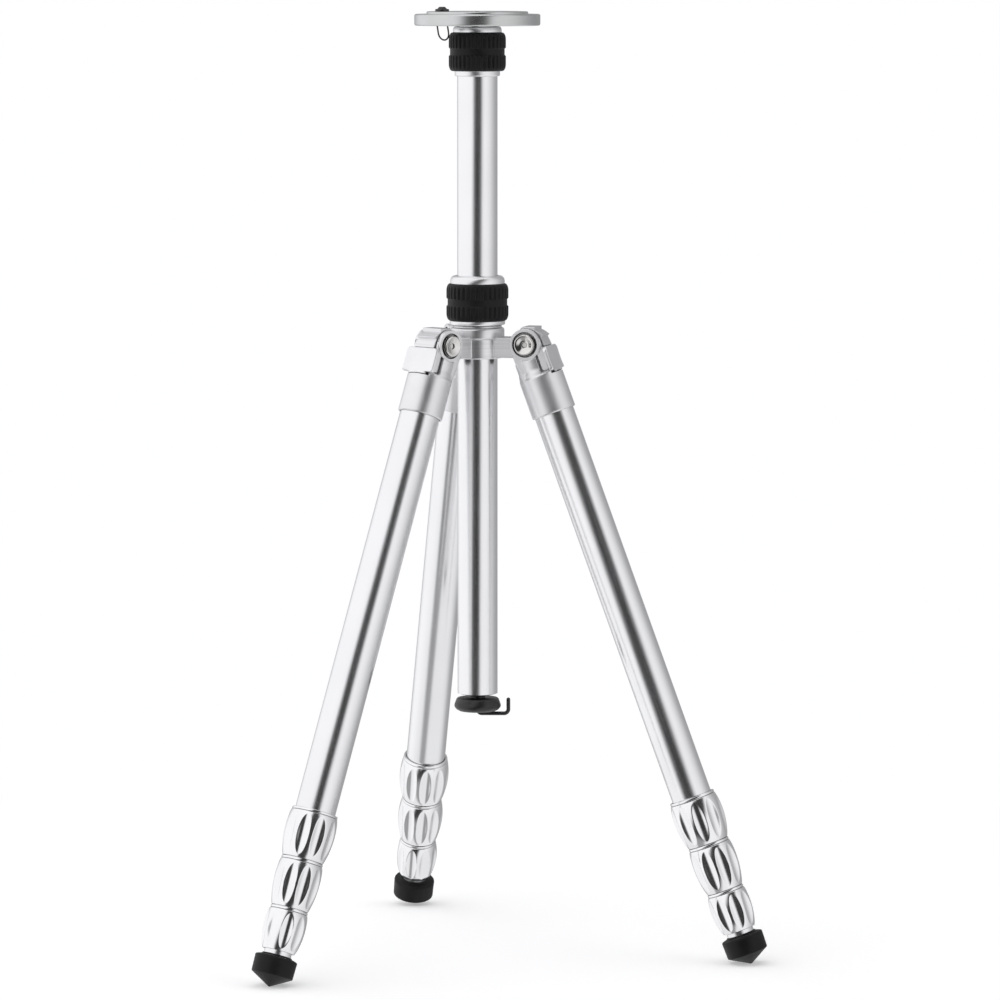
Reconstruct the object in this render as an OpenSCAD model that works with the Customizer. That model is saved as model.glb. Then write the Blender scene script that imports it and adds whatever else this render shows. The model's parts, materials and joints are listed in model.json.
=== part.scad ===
// Compact travel tripod: three legs in four sections with fluted twist locks, a two-section centre
// column with rubber-gripped twist locks, a round head plate with a captive screw, and a weight hook.
//
// Frame: millimetres, +Z up, floor at Z = 0, origin in the middle of the footprint's box. The front
// legs point to -Y and the rear leg to +Y, so the column axis lies a little in front of the origin.

/* [Stance] */
// Angle between each leg and the vertical at its first stop
leg_tilt = 20.5; // [18:0.5:23]
// Angle between each leg and the vertical at its second stop
wide_tilt = 52; // [50:1:55]
// Angle between each leg and the vertical at its third stop
low_tilt = 85; // [83:1:88]
// Distance from the column axis to each leg's hinge axis
hinge_radius = 37.5; // [36.5:0.5:42]

/* [Leg tubes] */
// Outside diameter of the top leg tube
leg_tube_d = 28; // [26:1:30]
// Drop in diameter from one leg section to the next
section_step = 3; // [2.8:0.1:3.4]
// Radial gap between one tube and the tube sliding in it
tube_gap = 0.3; // [0.2:0.05:0.4]
// Length of the top tube seen between the leg head and the first lock
leg_tube_show = 283; // [240:0.5:320]
// How far each lower section slides out
leg_travel = 250; // [150:5:250]
// Length of tube kept inside its neighbour at full extension
leg_overlap = 52; // [48:1:60]
// Length of bare tube between the last lock and the foot
foot_neck = 2.5; // [1:0.5:8]

/* [Leg locks] */
// Height of the upper leg lock
upper_lock_h = 34.2; // [32:0.1:38]
// Height of the middle leg lock
middle_lock_h = 34.4; // [32:0.1:38]
// Height of the lower leg lock
lower_lock_h = 30.1; // [28:0.1:36]
// Radial wall of a lock at its shoulder, over the tube that it is screwed on
lock_shoulder = 2.1; // [1.8:0.1:2.6]
// Radial wall of a lock at its widest
lock_belly = 3.7; // [3.4:0.1:4.2]
// Radial wall of a lock at its mouth, over the tube that slides through it
lock_mouth = 1.7; // [1.5:0.1:2]
// Height of the lip ring on top of a lock
lock_lip = 2; // [1.6:0.1:2.6]
// Flutes round the upper and middle locks
lock_flutes = 10; // [8:1:11]
// Flutes round the lower lock
lower_lock_flutes = 9; // [8:1:10]
// Radius of the cutter that scoops each flute
flute_r = 6.6; // [5.5:0.1:8]

/* [Feet] */
// Diameter of a rubber foot
foot_d = 29.4; // [27:0.1:32]
// Height of a foot's straight wall
foot_wall_h = 12; // [9:0.5:15]
// Height of a foot's pointed end
foot_point_h = 8.2; // [6:0.1:10]
// Height of the collar on top of a foot
foot_collar_h = 2; // [1.5:0.1:3]
// Diameter of the collar on top of a foot
foot_collar_d = 20.8; // [20:0.1:23]
// Radius of a foot's blunted tip
foot_tip_r = 1.6; // [1:0.1:3]

/* [Leg head] */
// Length of a leg head from the hinge axis to the end of its sleeve
head_length = 51; // [46:0.5:60]
// Wall of the sleeve round the top tube
sleeve_wall = 1.6; // [1.4:0.1:2]
// Width of a leg head over its two ears
head_w = 26; // [25:0.5:28]
// Thickness of each ear
ear_t = 3.6; // [3.4:0.1:4.2]
// Radius of each ear round the hinge
ear_r = 11; // [10.8:0.1:11.1]
// Radius of a leg head's body under the ears
head_body_r = 14.4; // [13.6:0.1:14.8]
// Diameter of the hinge bolt's shank
hinge_bolt_d = 6; // [5:0.5:7]
// Diameter of the hinge bolt's socket head
hinge_head_d = 14.6; // [13:0.1:15]
// Diameter of the recess round the bolt's head
ear_recess_d = 17.4; // [16.6:0.1:18]
// Depth of the recess round the bolt's head
ear_recess_h = 1.9; // [1.2:0.1:2]
// Height of the hinge bolt's head
hinge_head_h = 4.4; // [3.6:0.1:5]
// Depth of the milled flat on each side of the head
side_flat_h = 1.2; // [0.8:0.1:1.4]

/* [Stop latch] */
// Distance from the hinge axis to the latch's inner face
latch_seat = 11.3; // [11.3:0.1:11.6]
// Thickness of the latch pad
latch_t = 3.2; // [3:0.1:3.6]
// Width of the latch pad
latch_w = 30; // [28:0.5:31]
// Length of the latch pad along the leg
latch_l = 18.6; // [16:0.1:20]
// How far the latch pulls out
latch_travel = 5.5; // [5:0.1:6]
// Distance along the leg from the hinge axis to the stop faces
stop_drop = 5.4; // [5:0.1:6]
// Height of a stop tooth over the latch seat
tooth_h = 1.4; // [1.2:0.1:2.4]

/* [Hub] */
// Radius of the hub's neck
hub_neck_r = 18.8; // [18.6:0.1:20]
// Radius of the hub's body between the arms
hub_body_r = 17; // [16.8:0.1:18]
// Depth of the hub below the hinge axes
hub_below = 10.6; // [10:0.1:12]
// Height of the hub's neck above the hinge axes
hub_above = 10.9; // [10.4:0.1:14]
// Thickness of the hub's arms
arm_t = 13.9; // [12:0.1:14]
// Radius of the hinge barrel at the end of each arm
barrel_r = 10.8; // [10.4:0.1:10.9]

/* [Column] */
// Outside diameter of the outer column tube
column_d = 28; // [26:1:30]
// Wall of the outer column tube
column_wall = 1.2; // [1.1:0.05:1.3]
// Length of the outer column tube seen between the two column locks
column_show = 138.2; // [100:0.1:200]
// Length of the outer column tube
column_length = 443; // [360:1:520]
// How far the inner column slides out
inner_travel = 200; // [120:5:240]
// Length of inner column kept in the outer column at full extension
inner_overlap = 55; // [45:1:80]
// Wall of the inner column tube
inner_wall = 1.2; // [1:0.1:1.5]

/* [Column locks] */
// Height of each column lock
column_lock_h = 34.2; // [32:0.1:40]
// Height of the lower lock's rubber grip
lower_grip_h = 25.7; // [24:0.1:27]
// Height of the upper lock's rubber grip
upper_grip_h = 26.6; // [24:0.1:27.6]
// Outside diameter of the lower lock's grip
lower_grip_d = 43.2; // [42:0.1:48]
// Outside diameter of the upper lock's grip
upper_grip_d = 39.6; // [38.6:0.1:44]
// Thickness of each rubber grip
grip_t = 3.4; // [3:0.1:3.8]
// Height of the metal ring under the lower grip
lower_ring_h = 2.9; // [1.5:0.1:4]
// Height of the metal ring under the upper grip
upper_ring_h = 3.5; // [1.5:0.1:4]
// Ribs round each grip
grip_ribs = 36; // [24:1:40]

/* [Head plate] */
// Diameter of the head plate
plate_d = 87.3; // [80:0.1:100]
// Thickness of the head plate at its rim
plate_t = 8; // [7.5:0.1:10]
// Diameter of the raised seat on the plate
seat_d = 70.4; // [69:0.1:76]
// Height of the raised seat
seat_h = 1.8; // [1:0.1:3]
// Gap between the upper lock and the plate
plate_gap = 0.7; // [0.4:0.1:2]

/* [Captive screw] */
// Distance from the column axis to the captive screw
screw_radius = 29; // [29:0.1:29.8]
// Direction of the captive screw round the plate
screw_azimuth = 199; // [150:1:230]
// Diameter of the screw's thread
screw_d = 6.35; // [6:0.05:6.5]
// Diameter of the screw's head
screw_head_d = 7.4; // [7:0.1:8]
// Diameter of the retaining washer
washer_d = 9.7; // [9:0.1:10.4]
// Height of the retaining washer over the seat
washer_show = 1.8; // [1.2:0.1:2.4]
// Height of the screw's chamfered tip over the washer
tip_show = 1.5; // [1:0.1:2]
// Half-width of the wire bail
bail_r = 4.9; // [4.6:0.1:5.2]
// Length of the wire bail from its pivot to its lowest point
bail_length = 11.7; // [10:0.1:13]
// Lean of the wire bail, from hanging straight down
bail_lean = -12; // [-20:1:0]
// Diameter of the bail's wire
bail_wire_d = 1.1; // [0.9:0.05:1.3]

/* [Weight hook] */
// Diameter of the cap under the column
cap_d = 32.6; // [29:0.1:34]
// Height of the cap under the column
cap_h = 9.1; // [8:0.1:12]
// Diameter of the neck between the column and the cap
cap_neck_d = 10.8; // [9:0.1:14]
// Height of the neck between the column and the cap
cap_neck_h = 3.3; // [1:0.1:4]
// Diameter of the hook's wire
hook_wire_d = 2.7; // [2:0.1:3]
// Radial gap between the cap and the hook's upright end
hook_mouth = 3.9; // [3:0.1:8]
// Height of the hook from its lowest point to its tip
hook_rise = 11.2; // [8:0.1:14]

/* [Hidden] */
LEG_NAMES = ["front_left", "front_right", "rear"];
LEG_AZIMUTHS = [210, 330, 90];
LEG_PARTS = ["head", "latch", "hinge_bolt", "hinge_nut", "upper_tube", "upper_lock", "upper_collet",
    "middle_tube", "middle_lock", "middle_collet", "lower_tube", "lower_lock", "lower_collet",
    "foot_tube", "foot"];
COLUMN_PARTS = ["hub", "column_bush", "lower_lock_nut", "lower_lock_grip", "outer_column",
    "upper_column_bush", "column_cap", "weight_hook", "upper_lock_nut", "upper_lock_grip",
    "inner_column", "head_plate", "plate_screw", "captive_screw", "screw_bail"];
$fn = 96;

// Colours
silver = [0.80, 0.81, 0.83];
bright = [0.90, 0.91, 0.93];
plate_grey = [0.70, 0.71, 0.72];
steel = [0.60, 0.60, 0.62];
black_rubber = [0.07, 0.07, 0.07];
black_metal = [0.05, 0.05, 0.06];
nylon = [0.86, 0.85, 0.82];

// Clearances and small fits
eps = 0.01;
reach = 60;           // how far a cutter runs past what it clears
slit_w = 1.5;         // slit down one side of a collet or bush
slide_gap = 0.2;      // between a tube and the collet or bush round it
turn_gap = 0.25;      // between parts that turn or slide past each other
face_gap = 0.3;       // between the end faces of parts that move apart
slot_gap = 0.4;       // between the stop teeth and the slot that they turn in
fit_gap = 0.05;       // between a hinge bolt and the holes that it fills
edge = 0.6;           // small chamfers and rounded edges

// Leg sections, counted from 0 at the top. Distances s run down the leg from the hinge axis.
function tube_r(k) = (leg_tube_d - k * section_step) / 2;
function lock_h(k) = [upper_lock_h, middle_lock_h, lower_lock_h][k];
function flutes(k) = k == 2 ? lower_lock_flutes : lock_flutes;
tube_wall = section_step / 2 - tube_gap;
first_lock_s = head_length + leg_tube_show;
function lock_s(k) = k == 0 ? first_lock_s : lock_s(k - 1) + lock_h(k - 1);
lock_thread = 12;     // length of tube screwed into its lock
mouth_h = 3;          // straight mouth of a lock, past its cone
cone_h = 11;          // cone inside a lock that squeezes its collet
lip_groove = 0.45;    // groove between a lock's lip and its body
LOCK_TURNS = [[4, 6, 26], [6, 32, 33], [9, 8, 9]]; // how far each lock was last turned
collet_lip = 0.35;    // thickness of a collet's thin end
collet_short = 4;     // how far a collet ends before its lock's mouth
tube_seat_s = 28;     // end of the top tube inside the leg head
foot_s = lock_s(2) + lock_h(2) + foot_neck;
foot_grip = 10;       // length of tube pushed into the foot
function tube_top_s(k) = k == 0 ? tube_seat_s : lock_s(k - 1) + lock_h(k - 1) - leg_travel - leg_overlap;
function tube_end_s(k) = k == 3 ? foot_s + foot_grip : lock_s(k) + lock_thread;

// Foot: a cone with a ball tip
cone_angle = atan(foot_d / 2 / foot_point_h);
point_s = foot_s + foot_collar_h + foot_wall_h + foot_point_h;
tip_s = point_s - foot_tip_r / sin(cone_angle);

// Stance
hinge_z = tip_s * cos(leg_tilt) + foot_tip_r;
stance_r = hinge_radius + tip_s * sin(leg_tilt);
column_y = -stance_r / 4;

// Leg head
sleeve_r = tube_r(0) + sleeve_wall;
ear_in = head_w / 2 - ear_t;
barrel_w = 2 * (ear_in - turn_gap);
slot_r = norm([latch_seat + tooth_h, stop_drop]) + slot_gap;
latch_top_s = stop_drop + face_gap;
latch_end_s = latch_top_s + latch_l;
seat_u = latch_seat - slide_gap;
tongue_w = 10;
tongue_u = 4;
tongue_s = [16.5, 23];
socket_af = 4;        // hexagon socket of the hinge bolt, across its flats
socket_h = 1.2;       // depth of the socket below the dish
bolt_rim = 1.3;       // width of the flat rim round the dish in a bolt's head
bolt_dish_h = 1.5;
bolt_end = 2;         // length of the bolt's shank inside its nut
bolt_dish_r = 2.7;    // radius of the dish at its floor
groove_w = 1.1;       // groove along the inner edge of each side flat
groove_h = 0.7;
flat_u = 4.6;         // inner edge of each side flat
flat_corner = 2;

// Stop teeth on the hinge barrel, one for each tilt
STOPS = [leg_tilt, wide_tilt, low_tilt];
tooth_root = [latch_seat - 0.8, stop_drop];
tooth_tip = [latch_seat + tooth_h, stop_drop];
back_steps = 6;
back_power = 0.7;     // how soon a tooth's back falls away
brow_u = -3;          // end of the barrel's flat brow, past the hinge axis
brow_foot = 156;      // angle at which the brow runs into the barrel

// Hub
arm_drop = 2.65;      // how far the middle of each arm lies below the hinge axes
arm_root = 6;         // how far each arm runs into the hub's body

// Column
column_r = column_d / 2;
inner_r = column_r - column_wall - tube_gap;
hub_lip_h = 1.6;
lower_lock_z = hub_above + hub_lip_h + slide_gap;
upper_lock_z = lower_lock_z + column_lock_h + column_show;
outer_top_z = upper_lock_z + lock_thread;
outer_bottom_z = outer_top_z - column_length;
plate_z = upper_lock_z + column_lock_h + plate_gap;
inner_bottom_z = upper_lock_z - inner_travel - inner_overlap;
bush_wall = 1.1;
spigot_wall = 1.1;
spigot_r = column_r + slide_gap + bush_wall + spigot_wall;
spigot_h = 14;
plug_h = 16;

// Head plate
seat_z = plate_z + plate_t + seat_h;
plate_screw_r = 4;
plate_screw_af = 5;
plate_screw_head_r = 7;
plate_screw_cone = 3;
plate_screw_sink = 0.2;
pocket_h = 1.4;
counterbore_r = 7.5;
counterbore_h = 5;
bail_pivot = 1.2;     // height of the bail's pivot above the plate's underside
bail_turn = 30;       // direction of the bail's pivot

// Weight hook
cap_top_z = outer_bottom_z - cap_neck_h;
cap_bottom_z = cap_top_z - cap_h;
hook_run_z = cap_bottom_z - 0.7 - hook_wire_d / 2;
hook_reach = cap_d / 2 + hook_mouth + hook_wire_d / 2;
hook_bend = 3;
hook_head_r = 2.6;
hook_turn = -15;

// ---------- frames ----------

module on_column() {
    translate([0, column_y, hinge_z]) children();
}

// Hub frame of one leg: origin on the hinge axis, +X out, +Z up, hinge axis along Y
module at_hinge(leg) {
    on_column() rotate([0, 0, LEG_AZIMUTHS[leg]]) translate([hinge_radius, 0, 0]) children();
}

// Leg frame: origin on the hinge axis, +Z down the leg, +X to the leg's outer side
module on_leg(leg) {
    at_hinge(leg) rotate([0, 180 - leg_tilt, 0]) rotate([0, 0, 180]) children();
}

// Turns a flat outline in X and Z into a slab of width w along Y
module slab(w) {
    rotate([90, 0, 0]) linear_extrude(w, center = true) children();
}

// ---------- shared shapes ----------

module tube(r, wall, z0, z1) {
    difference() {
        translate([0, 0, z0]) cylinder(h = z1 - z0, r = r);
        translate([0, 0, z0 - 1]) cylinder(h = z1 - z0 + 2, r = r - wall);
    }
}

// Disc with chamfered rims
module disc(r, z0, z1, c = edge) {
    rotate_extrude() polygon([[0, z0], [r - c, z0], [r, z0 + c], [r, z1 - c], [r - c, z1], [0, z1]]);
}

// Split ring that grips a tube: straight up to height h1, then tapered to its end at h2
module collet(r_tube, r_out, h1, h2) {
    r_in = r_tube + slide_gap;
    difference() {
        rotate_extrude() polygon([[r_in, 0], [r_out, 0], [r_out, h1], [r_in + collet_lip, h2], [r_in, h2]]);
        translate([0, -slit_w / 2, -1]) cube([r_out + 2, slit_w, h2 + 2]);
    }
}

// ---------- hub ----------

// Stop tooth k's corner p, turned from the leg frame at that stop to the hub frame
function at_stop(k, p) = norm(p) * [cos(STOPS[k] - atan(p[1] / p[0])), sin(STOPS[k] - atan(p[1] / p[0]))];
function polar_angle(p) = atan2(p[1], p[0]);

// Back of tooth k, from its tip to the next tooth's root
function tooth_back(k) =
    let (a0 = polar_angle(at_stop(k, tooth_tip)),
        a1 = polar_angle(at_stop(k + 1, tooth_root)),
        r0 = norm(tooth_tip),
        r1 = norm(tooth_root))
    [for (i = [1 : back_steps - 1])
        let (t = i / back_steps, r = r0 - (r0 - r1) * pow(t, back_power), a = a0 + (a1 - a0) * t)
        r * [cos(a), sin(a)]];

module stop_teeth() {
    polygon(concat([[0, 0]],
        [for (k = [0, 1]) each concat([at_stop(k, tooth_root), at_stop(k, tooth_tip)], tooth_back(k))],
        [at_stop(2, tooth_root), at_stop(2, tooth_tip)],
        [[brow_u, at_stop(2, tooth_tip)[1]], (barrel_r - 1) * [cos(brow_foot), sin(brow_foot)]]));
}

// Arm and hinge barrel of one leg, in that leg's hub frame
module hub_arm() {
    slab(barrel_w) {
        circle(r = barrel_r);
        stop_teeth();
        translate([-hinge_radius + hub_body_r - arm_root, -arm_t / 2 - arm_drop])
            square([hinge_radius - hub_body_r + arm_root, arm_t]);
    }
}

module hub() {
    bore_r = column_r + slide_gap + bush_wall + fit_gap;
    color(silver) on_column() difference() {
        union() {
            rotate_extrude() polygon([[0, -hub_below], [hub_body_r - edge, -hub_below],
                [hub_body_r, -hub_below + edge], [hub_body_r, 3.1], [hub_neck_r, 3.9],
                [hub_neck_r, hub_above - 1.6], [hub_neck_r - 0.5, hub_above - 0.5],
                [hub_neck_r - 1.6, hub_above], [0, hub_above]]);
            cylinder(h = hub_above + hub_lip_h, r = spigot_r + 0.5);
            cylinder(h = lower_lock_z + spigot_h, r = spigot_r);
            for (azimuth = LEG_AZIMUTHS)
                rotate([0, 0, azimuth]) translate([hinge_radius, 0, 0]) hub_arm();
        }
        cylinder_span(bore_r, -hub_below - 1, lower_lock_z + spigot_h + 1);
        for (azimuth = LEG_AZIMUTHS)
            rotate([0, 0, azimuth]) translate([hinge_radius, 0, 0]) rotate([90, 0, 0])
                cylinder(h = 2 * barrel_w, r = hinge_bolt_d / 2 + fit_gap, center = true);
    }
}

// Flanged nylon liner between the hub and the column, with the lower lock's collet on top
module column_bush() {
    r_in = column_r + slide_gap;
    r_out = r_in + bush_wall;
    top = lower_lock_z + spigot_h;
    flange_h = 5;
    finger_h = 12;
    color(nylon) on_column() difference() {
        rotate_extrude() polygon([[r_in, -hub_below], [r_out, -hub_below], [r_out, top + slide_gap],
            [spigot_r - turn_gap, top + slide_gap], [spigot_r - turn_gap, top + flange_h],
            [r_in + edge, top + finger_h], [r_in, top + finger_h]]);
        translate([0, -slit_w / 2, top]) cube([spigot_r + 1, slit_w, finger_h + 1]);
    }
}

// ---------- column locks ----------

// Threaded nut under a rubber grip. It screws on r_thread at its foot, and r_tube slides out of its top.
module lock_nut(r_grip, grip_h, r_thread, r_tube, ring_h, r_ring, r_crown, r_top) {
    r_core = r_grip - grip_t;
    crown_z = ring_h + grip_h;
    cone_z = crown_z - 3;
    difference() {
        rotate_extrude() polygon([[0, 0], [r_ring - edge, 0], [r_ring, edge], [r_ring, ring_h],
            [r_core, ring_h], [r_core, crown_z], [r_crown, crown_z],
            for (a = [0 : 22.5 : 90]) [r_top + (r_crown - r_top) * cos(a),
                crown_z + (column_lock_h - crown_z) * (0.35 + 0.65 * sin(a))],
            [0, column_lock_h]]);
        rotate_extrude() polygon([[0, -1], [r_thread + turn_gap, -1], [r_thread + turn_gap, cone_z - 8],
            [r_tube + turn_gap, cone_z + 4], [r_tube + turn_gap, column_lock_h + 1], [0, column_lock_h + 1]]);
    }
}

// Rubber sleeve with two ribbed bands and a smooth waist between them
module ribbed_grip(r_out, h) {
    r_in = r_out - grip_t;
    waist = 0.85;
    waist_h = 4.2;
    corner = [1.5, 3.6];
    mid = h / 2;
    band_h = mid - waist_h / 2;
    groove = [1, 0.2];
    difference() {
        rotate_extrude() polygon([[r_in, 0],
            for (a = [0 : 22.5 : 90]) [r_out - corner[0] * (1 - sin(a)), corner[1] * (1 - cos(a))],
            [r_out, band_h - waist], [r_out - waist, band_h],
            [r_out - waist, h - band_h], [r_out, h - band_h + waist],
            for (a = [90 : -22.5 : 0]) [r_out - corner[0] * (1 - sin(a)), h - corner[1] * (1 - cos(a))],
            [r_in, h]]);
        for (i = [0 : grip_ribs - 1], side = [-1, 1])
            rotate([0, 0, i * 360 / grip_ribs])
                translate([r_out + groove[1], 0, mid + side * (waist_h / 2 + band_h / 2)])
                    cylinder(h = band_h - 1.6, r = groove[0], center = true, $fn = 24);
    }
}

module lower_lock_nut() {
    r_grip = lower_grip_d / 2;
    color(bright) on_column() translate([0, 0, lower_lock_z])
        lock_nut(r_grip, lower_grip_h, spigot_r, column_r, lower_ring_h, r_grip - 2.3, r_grip - 2.6,
            column_r + 1.6);
}

module lower_lock_grip() {
    color(black_rubber) on_column() translate([0, 0, lower_lock_z + lower_ring_h])
        ribbed_grip(lower_grip_d / 2, lower_grip_h);
}

module upper_lock_nut() {
    r_grip = upper_grip_d / 2;
    color(bright) on_column() translate([0, 0, upper_lock_z])
        lock_nut(r_grip, upper_grip_h, column_r, inner_r, upper_ring_h, column_r + 1.7, r_grip - 2.9,
            inner_r + 2.9);
}

module upper_lock_grip() {
    color(black_rubber) on_column() translate([0, 0, upper_lock_z + upper_ring_h])
        ribbed_grip(upper_grip_d / 2, upper_grip_h);
}

// ---------- column ----------

module outer_column() {
    color(silver) on_column() tube(column_r, column_wall, outer_bottom_z, outer_top_z);
}

module upper_column_bush() {
    room = upper_ring_h + upper_grip_h - lock_thread;
    color(nylon) on_column() translate([0, 0, outer_top_z])
        collet(inner_r, column_r, room - cone_h - 1.5, room - collet_short - 1);
}

// Tube with a solid plug at its top for the plate's screw
module inner_column() {
    color(silver) on_column() difference() {
        translate([0, 0, inner_bottom_z]) cylinder(h = plate_z - inner_bottom_z, r = inner_r);
        translate([0, 0, inner_bottom_z - 1])
            cylinder(h = plate_z - plug_h - inner_bottom_z + 1, r = inner_r - inner_wall);
        cylinder_span(plate_screw_r, plate_z - plug_h - 1, plate_z + 1);
    }
}

module at_screw() {
    on_column() rotate([0, 0, screw_azimuth]) translate([screw_radius, 0, plate_z])
        rotate([0, 0, bail_turn - screw_azimuth]) children();
}

module head_plate() {
    color(plate_grey) difference() {
        on_column() union() {
            disc(plate_d / 2, plate_z, plate_z + plate_t, 0.8);
            disc(seat_d / 2, plate_z + plate_t - 1, seat_z, 0.5);
        }
        on_column() {
            cylinder_span(plate_screw_r, plate_z - 1, seat_z + 1);
            translate([0, 0, seat_z - plate_screw_sink - plate_screw_cone])
                cylinder(h = plate_screw_cone, r1 = plate_screw_r, r2 = plate_screw_head_r);
            cylinder_span(plate_screw_head_r, seat_z - plate_screw_sink, seat_z + 1);
        }
        at_screw() {
            translate([0, 0, -1]) cylinder(h = counterbore_h + 1, r = counterbore_r);
            cylinder(h = reach, r = screw_d / 2 + turn_gap);
            translate([0, 0, plate_t + seat_h - pocket_h]) cylinder(h = reach, r = washer_d / 2 + turn_gap);
        }
    }
}

// Countersunk screw that holds the plate on the inner column
module plate_screw() {
    top = seat_z - plate_screw_sink;
    color(steel) on_column() difference() {
        union() {
            cylinder_span(plate_screw_r, plate_z - plug_h, top - plate_screw_cone);
            translate([0, 0, top - plate_screw_cone])
                cylinder(h = plate_screw_cone, r1 = plate_screw_r, r2 = plate_screw_head_r);
        }
        translate([0, 0, top - plate_screw_cone]) cylinder(h = reach, r = plate_screw_af / sqrt(3), $fn = 6);
    }
}

// Screw held in the plate by the washer on its tip
module captive_screw() {
    head_top = counterbore_h - 0.4;
    washer_z = plate_t + seat_h - pocket_h + slide_gap;
    washer_top = plate_t + seat_h + washer_show;
    r = screw_d / 2;
    color(black_metal) at_screw() difference() {
        union() {
            disc(screw_head_d / 2, 0.2, head_top, 0.4);
            cylinder_span(r, 1, washer_top + 0.3);
            translate([0, 0, washer_top + 0.3]) cylinder(h = tip_show - 0.3, r1 = r, r2 = r - 1.2);
            disc(washer_d / 2, washer_z, washer_top, 0.4);
        }
        translate([0, 0, bail_pivot]) rotate([0, 90, 0])
            cylinder(h = reach, r = bail_wire_d / 2 + fit_gap * 2, center = true, $fn = 32);
    }
}

module cylinder_span(r, z0, z1) {
    translate([0, 0, z0]) cylinder(h = z1 - z0, r = r);
}

// Wire bail: two straight sides, a round end and two stubs in the screw's cross hole
module screw_bail() {
    r = bail_wire_d / 2;
    drop = bail_length - bail_r - r;
    color(black_metal) at_screw() translate([0, 0, bail_pivot]) rotate([bail_lean, 0, 0]) union() {
        for (side = [-1, 1]) {
            translate([side * bail_r, 0, -drop]) cylinder(h = drop, r = r, $fn = 24);
            translate([side * bail_r, 0, 0]) sphere(r = r, $fn = 24);
            translate([side * (bail_r / 2 + 0.6), 0, 0]) rotate([0, 90, 0])
                cylinder(h = bail_r - 1.2, r = r, center = true, $fn = 24);
        }
        translate([0, 0, -drop]) rotate([90, 0, 0]) rotate([0, 0, 180])
            rotate_extrude(angle = 180) translate([bail_r, 0]) circle(r = r, $fn = 24);
    }
}

// Turned cap screwed into the bottom of the outer column, hollow for the hook's head
module column_cap() {
    r = cap_d / 2;
    color(black_rubber) on_column() difference() {
        union() {
            cylinder_span(column_r - column_wall - fit_gap, outer_bottom_z - 0.4, outer_bottom_z + plug_h);
            cylinder_span(cap_neck_d / 2, cap_top_z - 1, outer_bottom_z);
            translate([0, 0, cap_bottom_z]) rotate_extrude() polygon([[0, 0], [r - 3.6, 0],
                [r - 1.5, cap_h * 0.12], [r - 0.3, cap_h * 0.28], [r, cap_h * 0.38],
                [r - 0.1, cap_h * 0.5], [r - 1.4, cap_h * 0.9], [r - 2.2, cap_h], [0, cap_h]]);
        }
        cylinder_span(hook_wire_d / 2 + turn_gap, cap_bottom_z - 1, cap_bottom_z + 6);
        cylinder_span(hook_head_r + turn_gap, cap_bottom_z + 2, cap_bottom_z + 6);
    }
}

// Wire hook that swivels in the cap: stem, bend, run, bend and upright end
module weight_hook() {
    r = hook_wire_d / 2;
    up = hook_rise - hook_wire_d - hook_bend + r;
    color(black_metal) on_column() rotate([0, 0, hook_turn]) translate([0, 0, hook_run_z]) union() {
        translate([0, 0, hook_bend]) rotate([90, 0, 0]) translate([hook_bend, 0, 0]) rotate([0, 0, 180])
            rotate_extrude(angle = 90) translate([hook_bend, 0]) circle(r = r, $fn = 32);
        cylinder_span(r, hook_bend, cap_bottom_z + 5 - hook_run_z);
        cylinder_span(hook_head_r, cap_bottom_z + 2.4 - hook_run_z, cap_bottom_z + 5.6 - hook_run_z);
        translate([hook_bend, 0, 0]) rotate([0, 90, 0])
            cylinder(h = hook_reach - 2 * hook_bend, r = r, $fn = 32);
        translate([hook_reach - hook_bend, 0, hook_bend]) rotate([90, 0, 0]) rotate([0, 0, 270])
            rotate_extrude(angle = 90) translate([hook_bend, 0]) circle(r = r, $fn = 32);
        translate([hook_reach, 0, hook_bend]) cylinder(h = up, r = r, $fn = 32);
        translate([hook_reach, 0, hook_bend + up]) sphere(r = r, $fn = 32);
    }
}

// ---------- leg head ----------

// Side outline of the clevis: round at the hinge, square at the latch seat
module clevis_outline() {
    circle(r = ear_r);
    translate([-ear_r, 0]) square([ear_r + seat_u, tube_seat_s]);
}

// Takes the square corners off the clevis, so that it runs into the round body
module clevis_envelope() {
    corner_r = norm([head_w / 2, ear_r]);
    rotate_extrude() polygon([[0, -ear_r - 1], [corner_r, -ear_r - 1], [corner_r, 3],
        [sleeve_r + 0.6, latch_end_s - 10], [sleeve_r, latch_end_s - 4], [sleeve_r, tube_seat_s],
        [0, tube_seat_s]]);
}

// Round body under the ears, with a shoulder up to the sleeve
module head_body() {
    shoulder_s = latch_end_s - 3;
    rotate_extrude() polygon([[0, 4], [head_body_r - 0.6, 4], [head_body_r, 8],
        [head_body_r, shoulder_s - 3], [head_body_r + 0.5, shoulder_s - 0.4],
        [sleeve_r - 0.4, shoulder_s + 1.6], [sleeve_r, shoulder_s + 2.6],
        [sleeve_r, head_length - edge], [sleeve_r - edge, head_length], [0, head_length]]);
}

// Space between the ears for the hinge barrel, its teeth and the arm
module clevis_slot() {
    slab(2 * ear_in) {
        circle(r = slot_r);
        translate([-reach, -reach]) square([reach, reach + hub_below + slot_gap]);
        translate([-eps, -reach]) square([reach, reach + stop_drop]);
    }
}

// Outline of a side flat: straight behind the latch, with a rounded lower corner
module flat_outline(inset) {
    inner_u = flat_u + inset;
    lower_s = latch_end_s - 1.7 - inset;
    translate([inner_u, -ear_r]) square([reach, ear_r + lower_s - flat_corner]);
    translate([inner_u + flat_corner, lower_s - flat_corner]) {
        square([reach, flat_corner]);
        circle(r = flat_corner);
    }
}

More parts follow.
